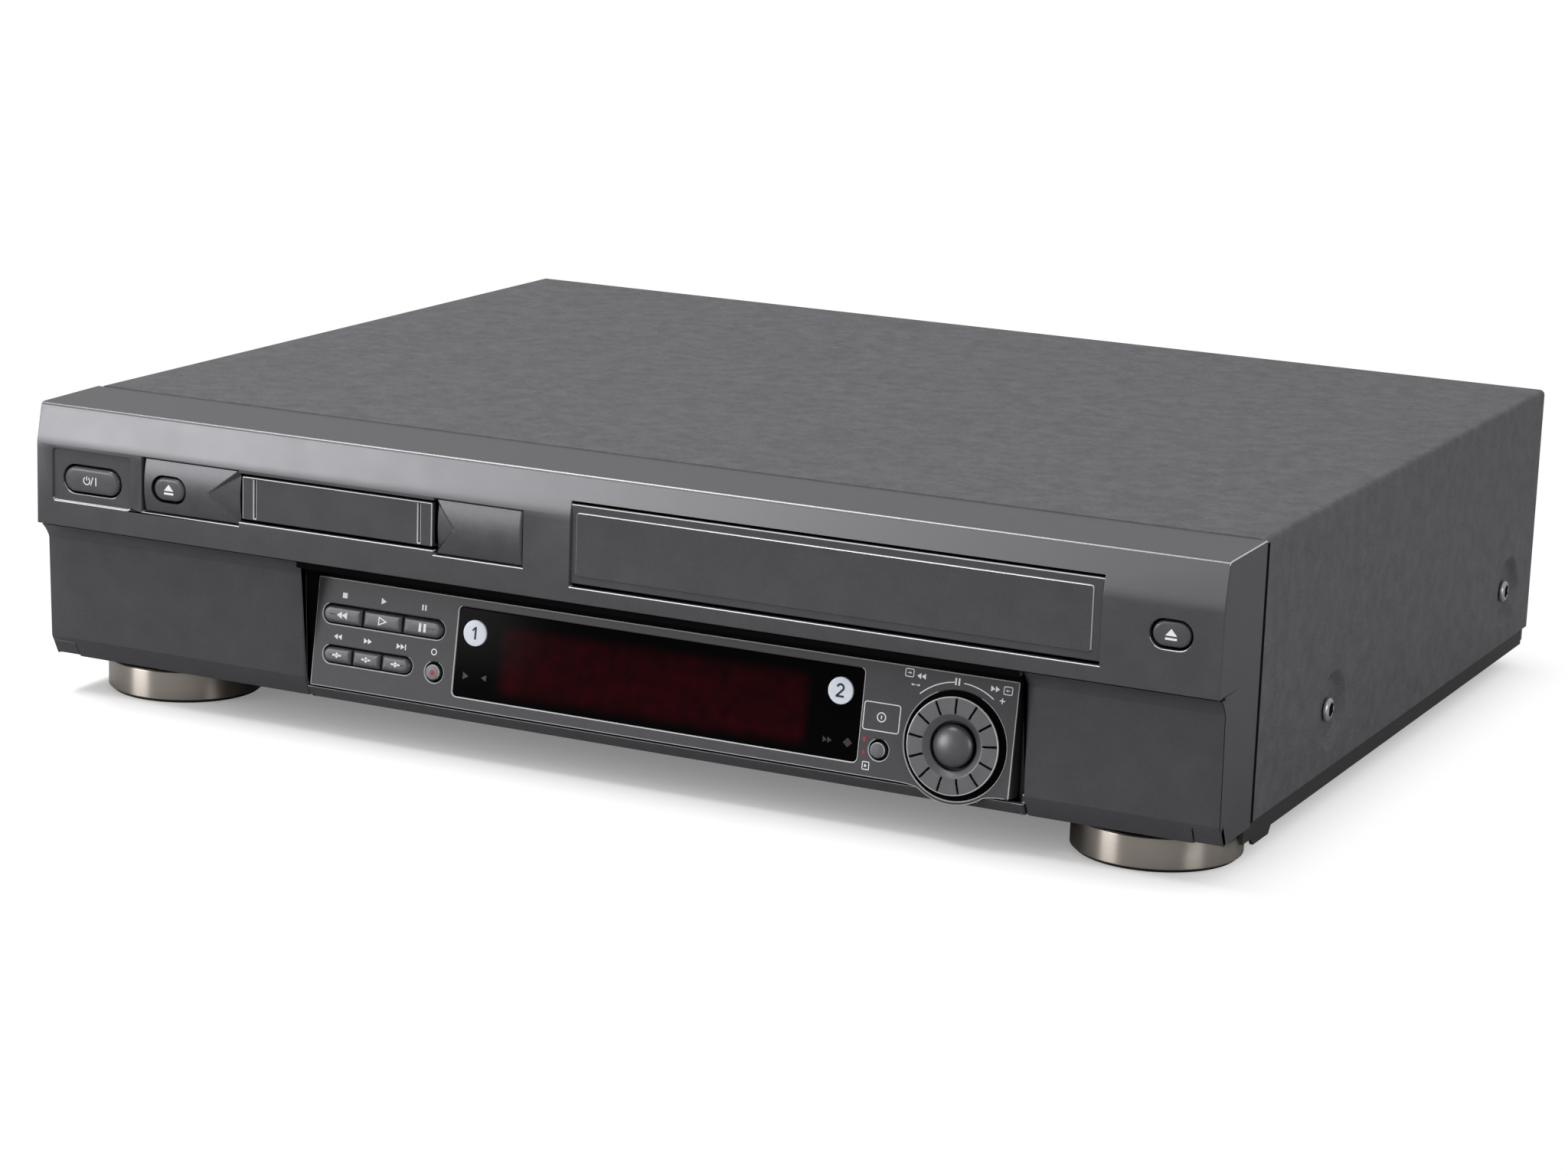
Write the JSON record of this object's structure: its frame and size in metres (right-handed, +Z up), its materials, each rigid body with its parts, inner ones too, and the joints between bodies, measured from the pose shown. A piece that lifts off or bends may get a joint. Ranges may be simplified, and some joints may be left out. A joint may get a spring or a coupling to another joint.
{
  "type": "video cassette recorder",
  "caption": "Full-width front-loading video recorder for large and small tape cassettes, with flap doors, a tilted control panel, a jog and shuttle dial, and a working tape transport inside.",
  "frame": {"origin": "middle of the whole footprint, on the surface that the feet stand on", "axes": "+X to the right seen from the front, +Y towards the back, +Z up"},
  "size_m": [0.455, 0.3726, 0.1105],
  "materials": {
    "cover_paint": "satin textured stove paint",
    "face_plastic": "satin metallic graphite paint on moulded plastic",
    "key_plastic": "satin painted keys",
    "black_plastic": "fine moulded grain",
    "display_lens": "polished smoked lens",
    "lamp_plastic": "lit milky caps",
    "foot_metal": "turned and satin plated",
    "zinc_steel": "zinc-plated sheet",
    "drum_metal": "fine turned",
    "circuit_board": "green lacquered laminate",
    "white_plastic": "natural moulded acetal",
    "rubber_black": "matt moulded rubber"
  },
  "bodies": {
    "cabinet": {"top_cover": "cover_paint", "rear_panel": "cover_paint", "front_fascia": "face_plastic", "left_scoop_plate": "face_plastic", "right_scoop_plate": "face_plastic", "control_panel": "face_plastic", "front_socket_block": "black_plastic", "mains_inlet": "black_plastic", "scart_block": "black_plastic", "display_window": "display_lens", "left_front_foot": "foot_metal", "right_front_foot": "foot_metal", "chassis_pan": "zinc_steel", "left_front_cover_screw": "zinc_steel", "left_rear_cover_screw": "zinc_steel", "right_front_cover_screw": "zinc_steel", "right_rear_cover_screw": "zinc_steel", "tuner_module": "zinc_steel", "deck_plate": "zinc_steel", "carriage_frame": "zinc_steel", "loading_motor": "zinc_steel", "small_deck_plate": "zinc_steel", "main_board": "circuit_board", "power_supply": "circuit_board", "front_board": "circuit_board", "phono_block": "white_plastic", "left_rear_foot": "rubber_black", "right_rear_foot": "rubber_black"},
    "cassette_door": {"cassette_door": "face_plastic"},
    "small_cassette_door": {"small_cassette_door": "face_plastic"},
    "left_flap_door": {"left_flap_door": "face_plastic"},
    "right_flap_door": {"right_flap_door": "face_plastic"},
    "power_button": {"power_button": "key_plastic"},
    "cassette_eject_button": {"cassette_eject_button": "key_plastic"},
    "small_eject_button": {"small_eject_button": "key_plastic"},
    "stop_button": {"stop_button": "key_plastic"},
    "play_button": {"play_button": "key_plastic"},
    "pause_button": {"pause_button": "key_plastic"},
    "rewind_button": {"rewind_button": "key_plastic"},
    "forward_button": {"forward_button": "key_plastic"},
    "skip_button": {"skip_button": "key_plastic"},
    "record_button": {"record_button": "key_plastic"},
    "select_button": {"select_button": "key_plastic"},
    "deck_one_button": {"deck_one_button": "lamp_plastic"},
    "deck_two_button": {"deck_two_button": "lamp_plastic"},
    "shuttle_ring": {"shuttle_ring": "key_plastic"},
    "encoder_shaft": {"encoder_shaft": "black_plastic"},
    "jog_dial": {"jog_dial": "key_plastic"},
    "upper_drum": {"upper_drum": "drum_metal"},
    "capstan_flywheel": {"capstan_flywheel": "drum_metal"},
    "supply_reel": {"supply_reel": "white_plastic"},
    "takeup_reel": {"takeup_reel": "white_plastic"},
    "pinch_roller_arm": {"pinch_roller_arm": "zinc_steel"},
    "pinch_roller": {"pinch_roller": "rubber_black"},
    "cam_gear": {"cam_gear": "white_plastic"},
    "loading_worm": {"loading_worm": "white_plastic"},
    "carriage_trolley": {"carriage_trolley": "zinc_steel"},
    "cassette_basket": {"cassette_basket": "zinc_steel"},
    "small_drum": {"small_drum": "drum_metal"},
    "small_basket": {"small_basket": "zinc_steel"}
  },
  "joints": [
    {"name": "cassette_door_swing", "type": "hinge", "parent": "cabinet", "child": "cassette_door", "pos_m": [0.08985, -0.1823, 0.0988], "axis": [1, 0, 0], "range_deg": [0, 90], "stiffness_Nm_per_rad": 0.01},
    {"name": "small_door_swing", "type": "hinge", "parent": "cabinet", "child": "small_cassette_door", "pos_m": [-0.1005, -0.1823, 0.0923], "axis": [1, 0, 0], "range_deg": [0, 90], "stiffness_Nm_per_rad": 0.003},
    {"name": "left_flap_swing", "type": "hinge", "parent": "cabinet", "child": "left_flap_door", "pos_m": [-0.16735, -0.1723, 0.0184], "axis": [1, 0, 0], "range_deg": [0, 88]},
    {"name": "right_flap_swing", "type": "hinge", "parent": "cabinet", "child": "right_flap_door", "pos_m": [0.1884, -0.1723, 0.0184], "axis": [1, 0, 0], "range_deg": [0, 88]},
    {"name": "power_button_press", "type": "slide", "parent": "cabinet", "child": "power_button", "axis": [0, 1, 0], "range_m": [0, 0.001], "stiffness_N_per_m": 400},
    {"name": "cassette_eject_button_press", "type": "slide", "parent": "cabinet", "child": "cassette_eject_button", "axis": [0, 1, 0], "range_m": [0, 0.001], "stiffness_N_per_m": 400},
    {"name": "small_eject_button_press", "type": "slide", "parent": "cabinet", "child": "small_eject_button", "axis": [0, 1, 0], "range_m": [0, 0.001], "stiffness_N_per_m": 400},
    {"name": "stop_button_press", "type": "slide", "parent": "cabinet", "child": "stop_button", "axis": [0, 0.989, -0.1478], "range_m": [0, 0.0008], "stiffness_N_per_m": 400},
    {"name": "play_button_press", "type": "slide", "parent": "cabinet", "child": "play_button", "axis": [0, 0.989, -0.1478], "range_m": [0, 0.0008], "stiffness_N_per_m": 400},
    {"name": "pause_button_press", "type": "slide", "parent": "cabinet", "child": "pause_button", "axis": [0, 0.989, -0.1478], "range_m": [0, 0.0008], "stiffness_N_per_m": 400},
    {"name": "rewind_button_press", "type": "slide", "parent": "cabinet", "child": "rewind_button", "axis": [0, 0.989, -0.1478], "range_m": [0, 0.0008], "stiffness_N_per_m": 400},
    {"name": "forward_button_press", "type": "slide", "parent": "cabinet", "child": "forward_button", "axis": [0, 0.989, -0.1478], "range_m": [0, 0.0008], "stiffness_N_per_m": 400},
    {"name": "skip_button_press", "type": "slide", "parent": "cabinet", "child": "skip_button", "axis": [0, 0.989, -0.1478], "range_m": [0, 0.0008], "stiffness_N_per_m": 400},
    {"name": "record_button_press", "type": "slide", "parent": "cabinet", "child": "record_button", "axis": [0, 0.989, -0.1478], "range_m": [0, 0.0008], "stiffness_N_per_m": 400},
    {"name": "select_button_press", "type": "slide", "parent": "cabinet", "child": "select_button", "axis": [0, 0.989, -0.1478], "range_m": [0, 0.0008], "stiffness_N_per_m": 400},
    {"name": "deck_one_button_press", "type": "slide", "parent": "cabinet", "child": "deck_one_button", "axis": [0, 0.989, -0.1478], "range_m": [0, 0.0008], "stiffness_N_per_m": 400},
    {"name": "deck_two_button_press", "type": "slide", "parent": "cabinet", "child": "deck_two_button", "axis": [0, 0.989, -0.1478], "range_m": [0, 0.0008], "stiffness_N_per_m": 400},
    {"name": "shuttle_turn", "type": "hinge", "parent": "cabinet", "child": "shuttle_ring", "pos_m": [0.1335, -0.17545, 0.03403], "axis": [0, 0.989, -0.1478], "range_deg": [-70, 70], "stiffness_Nm_per_rad": 0.02},
    {"name": "jog_turn", "type": "hinge", "parent": "cabinet", "child": "encoder_shaft", "pos_m": [0.1335, -0.17545, 0.03403], "axis": [0, 0.989, -0.1478], "continuous": true},
    {"name": "jog_press", "type": "slide", "parent": "encoder_shaft", "child": "jog_dial", "axis": [0, 0.989, -0.1478], "range_m": [0, 0.0008], "stiffness_N_per_m": 400},
    {"name": "drum_spin", "type": "hinge", "parent": "cabinet", "child": "upper_drum", "pos_m": [0.08985, 0.0383, 0.0559], "axis": [0, 0, 1], "continuous": true},
    {"name": "capstan_spin", "type": "hinge", "parent": "cabinet", "child": "capstan_flywheel", "pos_m": [0.142, 0.0163, 0.038], "axis": [0, 0, 1], "continuous": true},
    {"name": "supply_reel_spin", "type": "hinge", "parent": "cabinet", "child": "supply_reel", "pos_m": [0.04385, -0.0537, 0.0399], "axis": [0, 0, 1], "continuous": true},
    {"name": "takeup_reel_spin", "type": "hinge", "parent": "cabinet", "child": "takeup_reel", "pos_m": [0.13585, -0.0537, 0.0399], "axis": [0, 0, 1], "continuous": true},
    {"name": "pinch_arm_swing", "type": "hinge", "parent": "cabinet", "child": "pinch_roller_arm", "pos_m": [0.172, 0.0263, 0.048], "axis": [0, 0, 1], "range_deg": [0, 20], "stiffness_Nm_per_rad": 0.05},
    {"name": "pinch_roller_spin", "type": "hinge", "parent": "pinch_roller_arm", "child": "pinch_roller", "pos_m": [0.15133, 0.03382, 0.055], "axis": [0, 0, 1], "continuous": true},
    {"name": "cam_turn", "type": "hinge", "parent": "cabinet", "child": "cam_gear", "pos_m": [0.014, 0.0283, 0.0498], "axis": [0, 0, 1], "range_deg": [0, 200]},
    {"name": "worm_turn", "type": "hinge", "parent": "cabinet", "child": "loading_worm", "pos_m": [-0.0103, 0.0283, 0.0498], "axis": [0, 1, 0], "range_deg": [0, 7200]},
    {"name": "trolley_run", "type": "slide", "parent": "cabinet", "child": "carriage_trolley", "axis": [0, 1, 0], "range_m": [0, 0.045]},
    {"name": "basket_drop", "type": "slide", "parent": "carriage_trolley", "child": "cassette_basket", "axis": [0, 0, -1], "range_m": [0, 0.022]},
    {"name": "small_drum_spin", "type": "hinge", "parent": "cabinet", "child": "small_drum", "pos_m": [-0.1005, -0.0637, 0.0725], "axis": [0, 0, 1], "continuous": true},
    {"name": "small_basket_drop", "type": "slide", "parent": "cabinet", "child": "small_basket", "axis": [0, 0, -1], "range_m": [0, 0.008]}
  ],
  "couplings": [
    {"joint": "worm_turn", "follows": "cam_turn", "ratio": 36}
  ]
}
